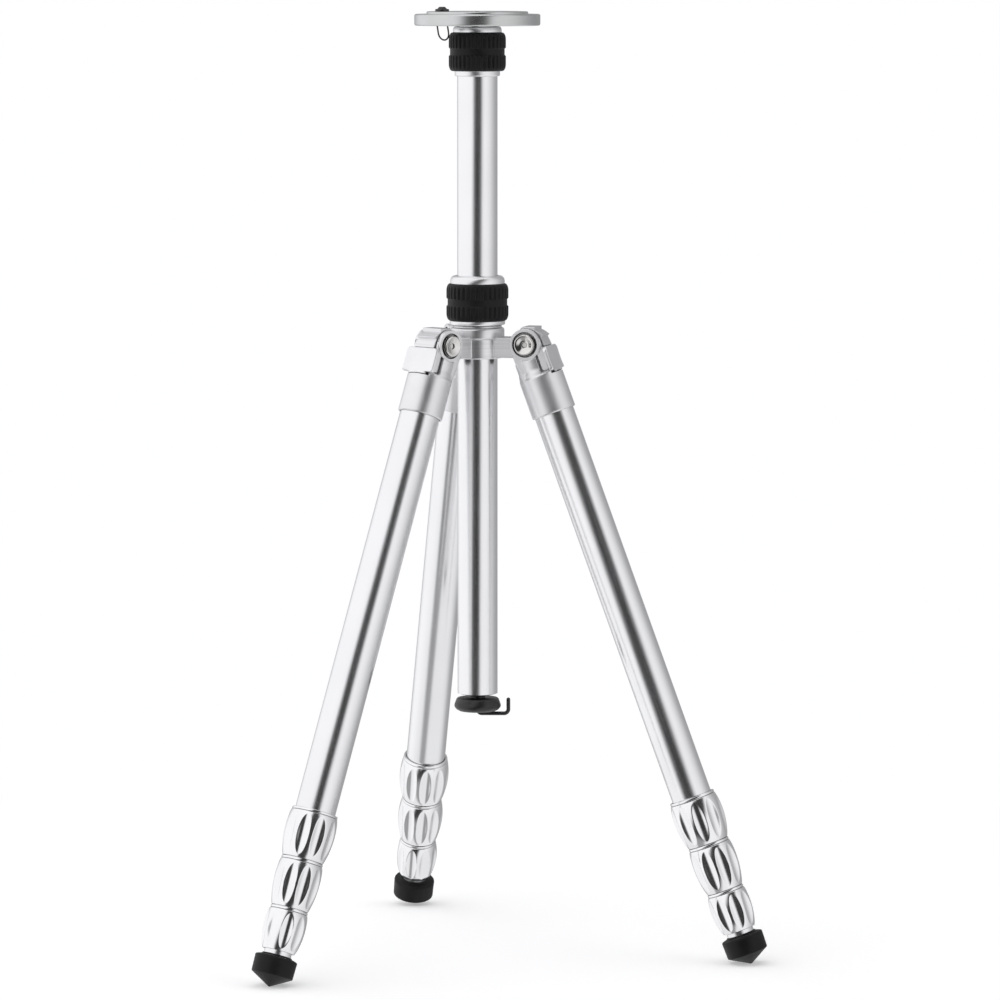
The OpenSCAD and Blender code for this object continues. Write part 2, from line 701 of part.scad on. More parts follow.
// Flat cheeks behind the latch with a groove along their edge, and the round step under each ear
module side_flats() {
    flat_y = head_w / 2 - side_flat_h;
    for (side = [-1, 1]) {
        translate([0, side * (flat_y + 10), 0]) slab(20) difference() {
            flat_outline(0);
            circle(r = ear_r);
        }
        translate([0, side * (flat_y - groove_h + 10), 0]) slab(20) difference() {
            flat_outline(0);
            flat_outline(groove_w);
            circle(r = ear_r);
        }
        translate([0, side * (head_w / 2 + 10), 0]) slab(20) circle(r = ear_r);
    }
}

module leg_head(leg) {
    color(silver) on_leg(leg) difference() {
        union() {
            intersection() {
                slab(head_w) clevis_outline();
                clevis_envelope();
            }
            head_body();
        }
        clevis_slot();
        translate([seat_u, -reach, -reach]) cube([reach, 2 * reach, reach + latch_end_s + face_gap]);
        side_flats();
        for (side = [-1, 1])
            translate([0, side * (head_w / 2), 0]) rotate([90, 0, 0])
                cylinder(h = 2 * ear_recess_h, r = ear_recess_d / 2, center = true);
        rotate([90, 0, 0]) cylinder(h = 2 * head_w, r = hinge_bolt_d / 2 + fit_gap, center = true);
        translate([tongue_u - 5, -tongue_w / 2 - turn_gap, tongue_s[0] - turn_gap])
            cube([reach, tongue_w + 2 * turn_gap, tongue_s[1] - tongue_s[0] + 2 * turn_gap]);
        translate([0, 0, tube_seat_s]) cylinder(h = head_length, r = tube_r(0) + fit_gap);
    }
}

// Pad that pulls out to free the leg, with a tongue guided in the head
module leg_latch(leg) {
    corner = 3.6;
    dish_r = 90;
    dish = 0.5;
    notch = [7, 1.4];
    mid_s = latch_top_s + latch_l / 2;
    color(bright) on_leg(leg) difference() {
        union() {
            translate([latch_seat, 0, 0]) rotate([0, 90, 0]) rotate([0, 0, 180])
                linear_extrude(latch_t) {
                    translate([latch_top_s, -latch_w / 2 + corner])
                        square([latch_l, latch_w - 2 * corner]);
                    translate([latch_top_s + corner, -latch_w / 2])
                        square([latch_l - 2 * corner, latch_w]);
                    for (s = [latch_top_s + corner, latch_end_s - corner], side = [-1, 1])
                        translate([s, side * (latch_w / 2 - corner)]) circle(r = corner);
                }
            translate([tongue_u, -tongue_w / 2, tongue_s[0]])
                cube([latch_seat - tongue_u + 1, tongue_w, tongue_s[1] - tongue_s[0]]);
        }
        translate([latch_seat + latch_t + dish_r - dish, 0, mid_s]) rotate([90, 0, 0])
            cylinder(h = latch_w + 2, r = dish_r, center = true, $fn = 200);
        for (side = [-1, 1])
            translate([latch_seat - 1, side * latch_w / 2 - notch[0], latch_end_s - notch[1]])
                cube([latch_t + 2, 2 * notch[0], 5]);
    }
}

// Round head on both ends of the hinge bolt: a grooved rim, a dish and a socket, from its seat at z = 0
module bolt_head() {
    r = hinge_head_d / 2;
    top = hinge_head_h;
    difference() {
        rotate_extrude() polygon([[0, 0], [r, 0], [r, top * 0.45], [r - 0.7, top * 0.45],
            [r - 0.7, top * 0.6], [r - 0.2, top * 0.6], [r - 0.2, top - 0.5], [r - 0.6, top],
            [r - bolt_rim, top], [bolt_dish_r, top - bolt_dish_h], [0, top - bolt_dish_h]]);
        translate([0, 0, top - bolt_dish_h - socket_h])
            cylinder(h = hinge_head_h, r = socket_af / sqrt(3), $fn = 6);
    }
}

// Socket-head shoulder bolt through both ears
module hinge_bolt(leg) {
    floor_y = head_w / 2 - ear_recess_h;
    color(steel) on_leg(leg) rotate([-90, 0, 0]) {
        translate([0, 0, floor_y]) bolt_head();
        cylinder_span(hinge_bolt_d / 2, -floor_y - bolt_end, floor_y + 1);
    }
}

// Socket-head nut on the other end of the hinge bolt
module hinge_nut(leg) {
    floor_y = head_w / 2 - ear_recess_h;
    color(steel) on_leg(leg) rotate([90, 0, 0]) translate([0, 0, floor_y]) difference() {
        bolt_head();
        cylinder_span(hinge_bolt_d / 2 + fit_gap, -1, bolt_end + fit_gap);
    }
}

// ---------- leg sections ----------

module leg_tube(leg, k) {
    color(silver) on_leg(leg) tube(tube_r(k), tube_wall, tube_top_s(k), tube_end_s(k));
}

// Last section, closed by a plug where the foot sits
module foot_tube(leg) {
    color(silver) on_leg(leg) difference() {
        cylinder_span(tube_r(3), tube_top_s(3), tube_end_s(3));
        cylinder_span(tube_r(3) - tube_wall, tube_top_s(3) - 1, foot_s - foot_neck);
    }
}

// Barrel-shaped collar: a rolled lip ring, a bulged body that narrows to its mouth, and scooped flutes
module leg_lock(leg, k) {
    h = lock_h(k) - face_gap;
    shoulder_r = tube_r(k) + lock_shoulder;
    belly_r = tube_r(k) + lock_belly;
    mouth_r = tube_r(k + 1) + lock_mouth;
    // The bulge is one arc through the shoulder, the belly and the mouth
    body_h = h - lock_lip;
    top_part = body_h * sqrt(belly_r - shoulder_r) / (sqrt(belly_r - shoulder_r) + sqrt(belly_r - mouth_r));
    belly_z = lock_lip + top_part;
    barrel_bands = 10;
    lip_r = shoulder_r - 0.15;
    arc_r = (pow(h - belly_z, 2) + pow(belly_r - mouth_r, 2)) / (2 * (belly_r - mouth_r));
    flute_ends = [lock_lip + body_h * 0.06, lock_lip + body_h * 0.94];
    flute_edge = [for (z = flute_ends) belly_r - arc_r + sqrt(arc_r * arc_r - pow(z - belly_z, 2))];
    flute_lean = atan((flute_edge[0] - flute_edge[1]) / (flute_ends[1] - flute_ends[0]));
    color(bright) on_leg(leg) translate([0, 0, lock_s(k)]) difference() {
        rotate_extrude() polygon([[0, 0], [lip_r - 0.5, 0], [lip_r, 0.5], [lip_r, lock_lip - 0.6],
            [lip_r - lip_groove, lock_lip - 0.3], [lip_r - lip_groove, lock_lip],
            for (i = [0 : barrel_bands])
                let (z = lock_lip + lip_groove + (body_h - lip_groove) * i / barrel_bands)
                [belly_r - arc_r + sqrt(arc_r * arc_r - pow(z - belly_z, 2)), z],
            [0, h]]);
        for (i = [0 : flutes(k) - 1])
            rotate([0, 0, LOCK_TURNS[leg][k] + i * 360 / flutes(k)]) translate([flute_edge[0], 0, flute_ends[0]])
                rotate([0, -flute_lean, 0]) translate([flute_r, 0, -20]) cylinder(h = h + 40, r = flute_r);
        rotate_extrude() polygon([[0, -1], [tube_r(k) + turn_gap, -1], [tube_r(k) + turn_gap, h - mouth_h - cone_h],
            [tube_r(k + 1) + turn_gap, h - mouth_h], [tube_r(k + 1) + turn_gap, h + 1], [0, h + 1]]);
    }
}

module leg_collet(leg, k) {
    room = lock_h(k) - face_gap - lock_thread - mouth_h;
    color(nylon) on_leg(leg) translate([0, 0, tube_end_s(k)])
        collet(tube_r(k + 1), tube_r(k), room - cone_h - face_gap, room - collet_short);
}

module foot(leg) {
    r = foot_d / 2;
    wall_s = foot_s + foot_collar_h;
    touch = [foot_tip_r * cos(cone_angle), tip_s + foot_tip_r * sin(cone_angle)];
    color(black_rubber) on_leg(leg) difference() {
        rotate_extrude() {
            polygon([[0, foot_s], [foot_collar_d / 2, foot_s], [foot_collar_d / 2, foot_s + 0.6],
                [r - 0.5, wall_s - 0.2], [r, wall_s + 0.4], [r - 0.3, wall_s + foot_wall_h],
                touch, [0, touch[1]]]);
            intersection() {
                translate([0, tip_s]) circle(r = foot_tip_r);
                translate([0, tip_s - foot_tip_r]) square([foot_tip_r, 2 * foot_tip_r]);
            }
        }
        cylinder_span(tube_r(3), foot_s - 1, tube_end_s(3));
    }
}

// ---------- the part ----------

hub();
column_bush();
lower_lock_nut();
lower_lock_grip();
outer_column();
upper_column_bush();
column_cap();
weight_hook();
upper_lock_nut();
upper_lock_grip();
inner_column();
head_plate();
plate_screw();
captive_screw();
screw_bail();
for (leg = [0 : 2]) {
    name = LEG_NAMES[leg];
    leg_head(leg);
    leg_latch(leg);
    hinge_bolt(leg);
    hinge_nut(leg);
    leg_tube(leg, 0);
    leg_lock(leg, 0);
    leg_collet(leg, 0);
    leg_tube(leg, 1);
    leg_lock(leg, 1);
    leg_collet(leg, 1);
    leg_tube(leg, 2);
    leg_lock(leg, 2);
    leg_collet(leg, 2);
    foot_tube(leg);
    foot(leg);
}
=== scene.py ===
"""Travel tripod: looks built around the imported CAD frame.

Tubes, twist locks and grips are rebuilt as smooth, finely divided meshes in place of their CAD nodes.
Castings, latches, bolts, nuts, feet, the plate, the cap and the screws are the CAD forms with rolled edges.
Bushes, collets, the screw's bail and the weight hook keep their CAD meshes and get a material.
Shapes are written in millimetres; the studio, the materials and the frame are in metres.
"""
import json
import math

import bmesh
import bpy
from mathutils import Matrix, Vector


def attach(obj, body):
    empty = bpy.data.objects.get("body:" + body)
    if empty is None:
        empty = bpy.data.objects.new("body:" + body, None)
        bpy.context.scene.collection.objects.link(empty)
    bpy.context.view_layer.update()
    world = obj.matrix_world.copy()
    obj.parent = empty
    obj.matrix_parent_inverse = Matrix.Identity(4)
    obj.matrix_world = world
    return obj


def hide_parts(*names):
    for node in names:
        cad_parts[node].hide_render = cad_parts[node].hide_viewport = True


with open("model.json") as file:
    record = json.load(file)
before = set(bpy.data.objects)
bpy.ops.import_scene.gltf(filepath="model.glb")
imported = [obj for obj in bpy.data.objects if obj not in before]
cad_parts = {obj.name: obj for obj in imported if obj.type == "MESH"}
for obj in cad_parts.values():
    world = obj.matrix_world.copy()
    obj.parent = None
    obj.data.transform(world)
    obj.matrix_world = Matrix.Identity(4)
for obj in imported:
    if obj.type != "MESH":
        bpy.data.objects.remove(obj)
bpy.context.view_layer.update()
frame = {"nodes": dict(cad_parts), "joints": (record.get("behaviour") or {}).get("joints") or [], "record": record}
nodes = frame["nodes"]
joints = {j["name"]: j for j in frame["joints"]}
body_of = {n: body for body, names in frame["record"]["behaviour"]["bodies"].items() for n in names}
slot_of = {s["node"]: s["material_slot"] for s in frame["record"]["subparts"]}

MM = 0.001
LEGS = ("front_left", "front_right", "rear")
AXIS = Vector(joints["lower_column_lock_turn"]["pos_m"])
HINGE_Z = joints["front_left_leg_fold"]["pos_m"][2]


def leg_frame(leg):
    """The leg's own frame: origin on the hinge axis, Z down the leg, X to its outer side."""
    down = Vector(joints[f"{leg}_middle_section_slide"]["axis"]).normalized()
    out = Vector(joints[f"{leg}_latch_pull"]["axis"]).normalized()
    turn = Matrix((out, down.cross(out), down)).transposed().to_4x4()
    return Matrix.Translation(Vector(joints[f"{leg}_leg_fold"]["pos_m"])) @ turn


PLACES = {leg: leg_frame(leg) for leg in LEGS}
PLACES["column"] = Matrix.Translation(Vector((AXIS.x, AXIS.y, HINGE_Z)))


def owner_of(node):
    """The leg that a node belongs to, or the column."""
    return next((leg for leg in LEGS if node.startswith(leg)), "column")


# ---------- camera ----------

LENS_MM = 196.9
EYE_DISTANCE = 3.8
EYE_HEIGHT = 0.271  # above the hinges
EYE_SIDE = 0.0157
EYE_PITCH = math.radians(5.727)  # downwards
FAR_CLIP = 50
TO_EYE = Vector((-0.2487, -0.9687, 0)).normalized()
TO_RIGHT = Vector((-TO_EYE.y, TO_EYE.x, 0))

camera = bpy.data.objects.new("camera", bpy.data.cameras.new("camera"))
bpy.context.scene.collection.objects.link(camera)
bpy.context.scene.camera = camera
camera.data.lens = LENS_MM
camera.data.clip_end = FAR_CLIP
above_hub = Vector((AXIS.x, AXIS.y, HINGE_Z + EYE_HEIGHT))
camera.location = above_hub + EYE_DISTANCE * TO_EYE + EYE_SIDE * TO_RIGHT
looking = -TO_EYE * math.cos(EYE_PITCH) - Vector((0, 0, 1)) * math.sin(EYE_PITCH)
camera.rotation_euler = looking.to_track_quat("-Z", "Y").to_euler()

# ---------- node helpers ----------

NOISE_LOW, NOISE_HIGH = 0.3, 0.7  # the part of a noise's range that holds nearly all of it
TINT_LOW, TINT_HIGH = 0.35, 0.65
# painted shade: a dark colour mixed into the metal's colour in narrow gaps and inner corners, by ambient occlusion
PAINTED_SHADE_COLOUR = (0.07, 0.07, 0.075, 1)
PAINTED_SHADE_LOW, PAINTED_SHADE_HIGH = 0.30, 0.80  # openness at which a gap is darkest, and at which it ends
PAINTED_SHADE_SAMPLES = 8
MIX_FACTOR, MIX_A, MIX_B, MIX_COLOUR = 0, 6, 7, 2  # the Mix node's sockets for colours


class Shader:
    """A node tree that is written as a chain of calls."""

    def __init__(self, tree):
        self.tree = tree
        tree.nodes.clear()

    def add(self, kind, sets=(), **props):
        node = self.tree.nodes.new(kind)
        for name, value in props.items():
            setattr(node, name, value)
        for name, value in dict(sets).items():
            self.put(node, name, value)
        return node

    def put(self, node, name, value):
        socket = node.inputs[name]
        if isinstance(value, bpy.types.NodeSocket):
            self.tree.links.new(value, socket)
        else:
            socket.default_value = value

    def math(self, operation, a, b=0.0, c=0.0):
        return self.add("ShaderNodeMath", {0: a, 1: b, 2: c}, operation=operation).outputs[0]

    def span(self, value, lo, hi, to_lo, to_hi, smooth=False):
        kind = "SMOOTHSTEP" if smooth else "LINEAR"
        sets = {"Value": value, "From Min": lo, "From Max": hi, "To Min": to_lo, "To Max": to_hi}
        return self.add("ShaderNodeMapRange", sets, interpolation_type=kind).outputs["Result"]

    def noise(self, where, scale, detail=2.0, stretch=(1, 1, 1)):
        moved = self.add("ShaderNodeMapping", {"Vector": where, "Scale": stretch}).outputs[0]
        sets = {"Vector": moved, "Scale": scale, "Detail": detail}
        return self.add("ShaderNodeTexNoise", sets).outputs["Fac"]

    def vary(self, noise, lo, hi):
        """A value that wanders between lo and hi."""
        return self.span(noise, NOISE_LOW, NOISE_HIGH, lo, hi)

    def tint(self, fac, dark, light):
        ramp = self.add("ShaderNodeValToRGB", {"Fac": fac})
        ramp.color_ramp.elements[0].color = (*dark, 1)
        ramp.color_ramp.elements[1].color = (*light, 1)
        ramp.color_ramp.elements[0].position = TINT_LOW
        ramp.color_ramp.elements[1].position = TINT_HIGH
        return ramp.outputs["Color"]

    def painted_shade(self, clean, reach):
        """The same colour with painted shade: darker in narrow gaps and inner corners, where ambient occlusion
        finds little open air.
        """
        shade = self.add("ShaderNodeAmbientOcclusion", {"Distance": reach}, samples=PAINTED_SHADE_SAMPLES)
        fac = self.span(shade.outputs["AO"], PAINTED_SHADE_LOW, PAINTED_SHADE_HIGH, 0.0, 1.0, smooth=True)
        mix = self.add("ShaderNodeMix", data_type="RGBA")
        for socket, value in ((MIX_FACTOR, fac), (MIX_A, PAINTED_SHADE_COLOUR), (MIX_B, clean)):
            self.put(mix, socket, value)
        return mix.outputs[MIX_COLOUR]

    def bump(self, height, strength, distance, normal=None):
        sets = {"Height": height, "Strength": strength, "Distance": distance}
        if normal is not None:
            sets["Normal"] = normal
        return self.add("ShaderNodeBump", sets).outputs[0]


def material(name, paint, place):
    """A material whose noise runs along the given frame, so that a leg's grain follows the leg."""
    made = bpy.data.materials.new(name)
    made.use_nodes = True
    sh = Shader(made.node_tree)
    where = sh.add("ShaderNodeTexCoord").outputs["Object"]
    turned_back = place.to_3x3().inverted().to_euler()
    where = sh.add("ShaderNodeMapping", {"Vector": where, "Rotation": turned_back}).outputs[0]
    shell = sh.add("ShaderNodeBsdfPrincipled", paint(sh, where))
    sh.add("ShaderNodeOutputMaterial", {"Surface": shell.outputs[0]})
    return made


# ---------- studio: world, floor ----------

# brightness of the studio's sides, and of the dark gap between the two front panels
BRIGHT_LEFT = 1.03
BRIGHT_RIGHT = 0.95
DIM_BACK = 0.38
OVERHEAD = 1.05
UNDERFOOT = 0.88
GAP_LEVEL = 0.04
GAP_LEVEL_LOW = 0.35
BLUE_CAST = 1.015

# angles in degrees: round from the eye's side, positive to the right, or up from the horizon
GAP_HALF = 24
GAP_SOFT = 8
GAP_CENTRE = -2
GAP_SLANT = 0.62  # degrees round for each degree up
GAP_TOP = (48, 68)
GAP_FOOT = (-42, -30)
LEFT_FADE = (-175, -125)
RIGHT_FADE = (45, 135)
SIDES_MEET = (-10, 10)
OVERHEAD_FADE = (45, 75)
UNDERFOOT_FADE = (-20, -45)


def build_world():
    """A white studio with a dark gap in front, which draws the dark band along each tube."""

    def blend(fac, a, b):
        return sh.math("MULTIPLY_ADD", fac, sh.math("SUBTRACT", b, a), a)

    def dot(a, b):
        return sh.add("ShaderNodeVectorMath", {0: a, 1: b}, operation="DOT_PRODUCT").outputs["Value"]

    world = bpy.data.worlds.new("studio")
    bpy.context.scene.world = world
    world.use_nodes = True
    sh = Shader(world.node_tree)
    way = sh.add("ShaderNodeTexCoord").outputs["Generated"]
    way = sh.add("ShaderNodeVectorMath", {0: way}, operation="NORMALIZE").outputs[0]
    turn = sh.math("DEGREES", sh.math("ARCTAN2", dot(way, TO_RIGHT), dot(way, TO_EYE)))
    rise = sh.math("DEGREES", sh.math("ARCSINE", sh.add("ShaderNodeSeparateXYZ", {0: way}).outputs["Z"]))
    centre = sh.math("MULTIPLY_ADD", rise, GAP_SLANT, GAP_CENTRE)
    off = sh.math("ABSOLUTE", sh.math("SUBTRACT", turn, centre))
    gap = sh.span(off, GAP_HALF - GAP_SOFT, GAP_HALF + GAP_SOFT, 1.0, 0.0, smooth=True)
    gap = sh.math("MULTIPLY", gap, sh.span(rise, *GAP_TOP, 1.0, 0.0, smooth=True))
    left = sh.span(turn, *LEFT_FADE, DIM_BACK, BRIGHT_LEFT, smooth=True)
    right = sh.span(turn, *RIGHT_FADE, BRIGHT_RIGHT, DIM_BACK, smooth=True)
    both = blend(sh.span(turn, *SIDES_MEET, 0.0, 1.0), left, right)
    both = blend(sh.span(rise, *OVERHEAD_FADE, 0.0, 1.0, smooth=True), both, OVERHEAD)
    both = blend(sh.span(rise, *UNDERFOOT_FADE, 0.0, 1.0, smooth=True), both, UNDERFOOT)
    dark = sh.span(rise, *GAP_FOOT, GAP_LEVEL_LOW, GAP_LEVEL, smooth=True)
    level = blend(gap, both, dark)
    seen = sh.add("ShaderNodeLightPath").outputs["Is Camera Ray"]
    level = blend(seen, level, 1.0)
    blue = sh.math("MULTIPLY", level, BLUE_CAST)
    tone = sh.add("ShaderNodeCombineColor", {0: level, 1: level, 2: blue}).outputs[0]
    back = sh.add("ShaderNodeBackground", {"Color": tone, "Strength": 1.0})
    sh.add("ShaderNodeOutputWorld", {"Surface": back.outputs[0]})


FLOOR_R = 1.1
FLOOR_SIDES = 96
FLOOR_GLOW = 0.34  # what the paper needs, beyond the studio's light, to look white
WHITE = (1, 1, 1, 1)
FLOOR_FADE = (0.30, 0.75)  # radii between which the floor goes over into the white behind it


def build_floor():
    """White paper that takes the tripod's shadow and isn't seen in the tripod's reflections."""
    mesh = bpy.data.meshes.new("floor")
    made = bmesh.new()
    bmesh.ops.create_circle(made, cap_ends=True, radius=FLOOR_R, segments=FLOOR_SIDES)
    made.to_mesh(mesh)
    made.free()
    floor = bpy.data.objects.new("floor", mesh)
    bpy.context.scene.collection.objects.link(floor)
    paper = bpy.data.materials.new("paper")
    paper.use_nodes = True
    sh = Shader(paper.node_tree)
    where = sh.add("ShaderNodeTexCoord").outputs["Object"]
    sets = {
        "Base Color": (0.9, 0.9, 0.9, 1),
        "Roughness": 0.9,
        "Specular IOR Level": 0.1,
        "Normal": sh.bump(sh.noise(where, 900, 3), 0.05, 0.0002),
    }
    shell = sh.add("ShaderNodeBsdfPrincipled", sets)
    rays = sh.add("ShaderNodeLightPath").outputs
    glow = sh.math("MULTIPLY", rays["Is Camera Ray"], FLOOR_GLOW)
    glow = sh.add("ShaderNodeEmission", {"Color": WHITE, "Strength": glow})
    lit = sh.add("ShaderNodeAddShader", {0: shell.outputs[0], 1: glow.outputs[0]})
    away = sh.add("ShaderNodeVectorMath", {0: where}, operation="LENGTH").outputs["Value"]
    fade = sh.span(away, *FLOOR_FADE, 0.0, 1.0, smooth=True)
    fade = sh.math("MULTIPLY", fade, rays["Is Camera Ray"])
    white = sh.add("ShaderNodeEmission", {"Color": WHITE, "Strength": 1.0})
    both = sh.add("ShaderNodeMixShader", {0: fade, 1: lit.outputs[0], 2: white.outputs[0]})
    clear = sh.add("ShaderNodeBsdfTransparent").outputs[0]
    sets = {0: rays["Is Glossy Ray"], 1: both.outputs[0], 2: clear}
    every = sh.add("ShaderNodeMixShader", sets)
    sh.add("ShaderNodeOutputMaterial", {"Surface": every.outputs[0]})
    floor.data.materials.append(paper)


build_world()
build_floor()
bpy.context.scene.view_settings.view_transform = "Standard"

# ---------- materials ----------

# how far the painted shade reaches from an inner corner into a gap
CAST_SHADE_REACH = 0.0022
TURNED_SHADE_REACH = 0.0012
BOLT_SHADE_REACH = 0.003


def satin_tube(sh, where):
    """Drawn tube: fine lines along it."""
    lines = sh.noise(where, 900, 3, stretch=(1, 1, 0.02))
    cloud = sh.noise(where, 25, 3)
    grain = sh.noise(where, 2600)
    return {
        "Base Color": sh.tint(cloud, (0.885, 0.885, 0.895), (0.905, 0.905, 0.915)),
        "Metallic": 1.0,
        "Roughness": sh.vary(lines, 0.20, 0.27),
        "Normal": sh.bump(grain, 0.06, 0.00002),
    }


def turned(tones, roughness, strength, depth):
    """Turned metal: fine rings round the axis, and faint smears."""

    def paint(sh, where):
        rings = sh.noise(where, 1500, stretch=(0.03, 0.03, 1))
        smear = sh.noise(where, 60, 3)
        return {
            # painted shade in gaps and inner corners
            "Base Color": sh.painted_shade(sh.tint(smear, *tones), TURNED_SHADE_REACH),
            "Metallic": 1.0,
            "Roughness": sh.vary(smear, *roughness),
            "Normal": sh.bump(rings, strength, depth),
        }

    return paint


def cast(tones, roughness, strength, patch):
    """Cast metal, blasted and anodised: an even grain."""

    def paint(sh, where):
        grain = sh.noise(where, 1800, 3)
        cloud = sh.noise(where, patch, 3)
        return {
            # painted shade in gaps and inner corners
            "Base Color": sh.painted_shade(sh.tint(cloud, *tones), CAST_SHADE_REACH),
            "Metallic": 1.0,
            "Roughness": sh.vary(cloud, *roughness),
            "Normal": sh.bump(grain, strength, 0.00003),
        }

    return paint


def turned_casting(sh, where):
    """Cast metal that is turned afterwards: rings over the grain."""
    rings = sh.noise(where, 1100, 3, stretch=(0.02, 0.02, 1))
    grain = sh.noise(where, 1800, 3)
    cloud = sh.noise(where, 60, 3)
    return {
        # painted shade in gaps and inner corners
        "Base Color": sh.painted_shade(sh.tint(rings, (0.76, 0.76, 0.77), (0.85, 0.85, 0.86)), CAST_SHADE_REACH),
        "Metallic": 1.0,
        "Roughness": sh.vary(cloud, 0.30, 0.36),
        "Normal": sh.bump(grain, 0.05, 0.00003, normal=sh.bump(rings, 0.15, 0.00005)),
    }


def plate_grey(sh, where):
    grain = sh.noise(where, 1500, 3)
    cloud = sh.noise(where, 40, 3)
    return {
        "Base Color": sh.tint(cloud, (0.60, 0.61, 0.605), (0.64, 0.65, 0.645)),
        "Metallic": 1.0,
        "Roughness": sh.vary(cloud, 0.24, 0.28),
        "Normal": sh.bump(grain, 0.12, 0.00003),
    }


def bolt_steel(sh, where):
    smear = sh.noise(where, 120, 3)
    return {
        # painted shade in gaps and inner corners
        "Base Color": sh.painted_shade(sh.tint(smear, (0.70, 0.69, 0.67), (0.78, 0.77, 0.75)), BOLT_SHADE_REACH),
        "Metallic": 1.0,
        "Roughness": sh.vary(smear, 0.10, 0.18),
    }


def rubber(sh, where):
    grain = sh.noise(where, 1400, 4)
    dust = sh.noise(where, 90, 4)
    return {
        "Base Color": sh.tint(dust, (0.006, 0.006, 0.007), (0.011, 0.011, 0.012)),
        "Roughness": sh.vary(dust, 0.42, 0.55),
        "Specular IOR Level": 0.22,
        "Normal": sh.bump(grain, 0.25, 0.00006),
    }


def black_metal(sh, where):
    grain = sh.noise(where, 1200)
    return {
        "Base Color": sh.tint(grain, (0.015, 0.015, 0.017), (0.022, 0.022, 0.025)),
        "Roughness": sh.vary(grain, 0.20, 0.32),
        "Specular IOR Level": 0.6,
        "Normal": sh.bump(grain, 0.08, 0.00003),
    }


def black_plastic(sh, where):
    rings = sh.noise(where, 900, stretch=(0.04, 0.04, 1))
    grain = sh.noise(where, 1500)
    return {
        "Base Color": sh.tint(grain, (0.014, 0.014, 0.015), (0.022, 0.022, 0.023)),
        "Roughness": sh.vary(rings, 0.25, 0.45),
        "Normal": sh.bump(rings, 0.15, 0.00005),
    }


def nylon(sh, where):
    cloud = sh.noise(where, 200, 3)
    return {
        "Base Color": sh.tint(cloud, (0.80, 0.78, 0.73), (0.86, 0.84, 0.80)),
        "Roughness": sh.vary(cloud, 0.40, 0.50),
        "Subsurface Weight": 0.1,
    }


POLISHED = turned(((0.88, 0.88, 0.89), (0.92, 0.92, 0.925)), (0.14, 0.19), 0.05, 0.00002)
TURNED_RING = turned(((0.86, 0.86, 0.87), (0.91, 0.91, 0.915)), (0.30, 0.36), 0.10, 0.00003)
CAST_SATIN = cast(((0.83, 0.83, 0.84), (0.88, 0.88, 0.89)), (0.33, 0.40), 0.10, patch=60)
LATCH_SATIN = cast(((0.87, 0.87, 0.88), (0.91, 0.91, 0.92)), (0.36, 0.42), 0.08, patch=80)

# by material slot, then by node where a node's finish differs from its slot's
PAINTS = {
    "tube_aluminium": satin_tube,
    "turned_aluminium": POLISHED,
    "cast_aluminium": CAST_SATIN,
    "latch_aluminium": LATCH_SATIN,
    "plate_aluminium": plate_grey,
    "bolt_steel": bolt_steel,
    "grip_rubber": rubber,
    "foot_rubber": rubber,
    "black_metal": black_metal,
    "black_plastic": black_plastic,
    "nylon": nylon,
    "hub": turned_casting,
    "lower_lock_nut": TURNED_RING,
    "upper_lock_nut": TURNED_RING,
}


def finish_of(node):
    """A node's material, made when it is first asked for, one for each leg and one for the column."""
    kind = node if node in PAINTS else slot_of[node]
    owner = owner_of(node)
    name = f"{kind}_{owner}"
    return bpy.data.materials.get(name) or material(name, PAINTS[kind], PLACES[owner])


for name, node in nodes.items():
    node.data.materials.clear()
    node.data.materials.append(finish_of(name))

# ---------- pieces that stand for CAD nodes ----------

SMOOTH_ANGLE = math.radians(32)  # sharper edges are shaded as edges


def measure(node, place):
    """A CAD node's least and greatest Z and its greatest radius in a frame, in millimetres."""
    inverse = place.inverted()
    points = [inverse @ v.co / MM for v in nodes[node].data.vertices]
    heights = [p.z for p in points]
    return min(heights), max(heights), max(math.hypot(p.x, p.y) for p in points)


def add_piece(name, mesh, place, stands_for):
    """Put a mesh that was made in a leg's or the column's frame in place of a CAD node."""
    mesh.transform(place)
    mesh.materials.append(finish_of(stands_for))
    mesh.shade_smooth()
    mesh.set_sharp_from_angle(angle=SMOOTH_ANGLE)
    piece = bpy.data.objects.new(name, mesh)
    bpy.context.scene.collection.objects.link(piece)
    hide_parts(stands_for)
    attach(piece, body_of[stands_for])
    return piece


def ring_mesh(name, rows):
    """A closed skin from rows of points, each row once round the axis, the last row joined to the first."""
    count = len(rows[0])
    points = [tuple(c * MM for c in p) for row in rows for p in row]
    faces = []
    for i in range(len(rows)):
        here, there = i * count, (i + 1) % len(rows) * count
        for j in range(count):
            k = (j + 1) % count
            faces.append((here + j, here + k, there + k, there + j))
    mesh = bpy.data.meshes.new(name)
    mesh.from_pydata(points, [], faces)
    made = bmesh.new()
    made.from_mesh(mesh)
    bmesh.ops.recalc_face_normals(made, faces=made.faces)
    made.to_mesh(mesh)
    made.free()
    return mesh


def polar(r, angle, z):
    return (r * math.cos(angle), r * math.sin(angle), z)


FILLET_STEPS = 3
FILLET_SHARE = 0.45  # of a side that the fillet at one of its ends may take
NEARLY_STRAIGHT = math.radians(86)
FILLET = 0.3  # mm
ROUND_SEGMENTS = 112


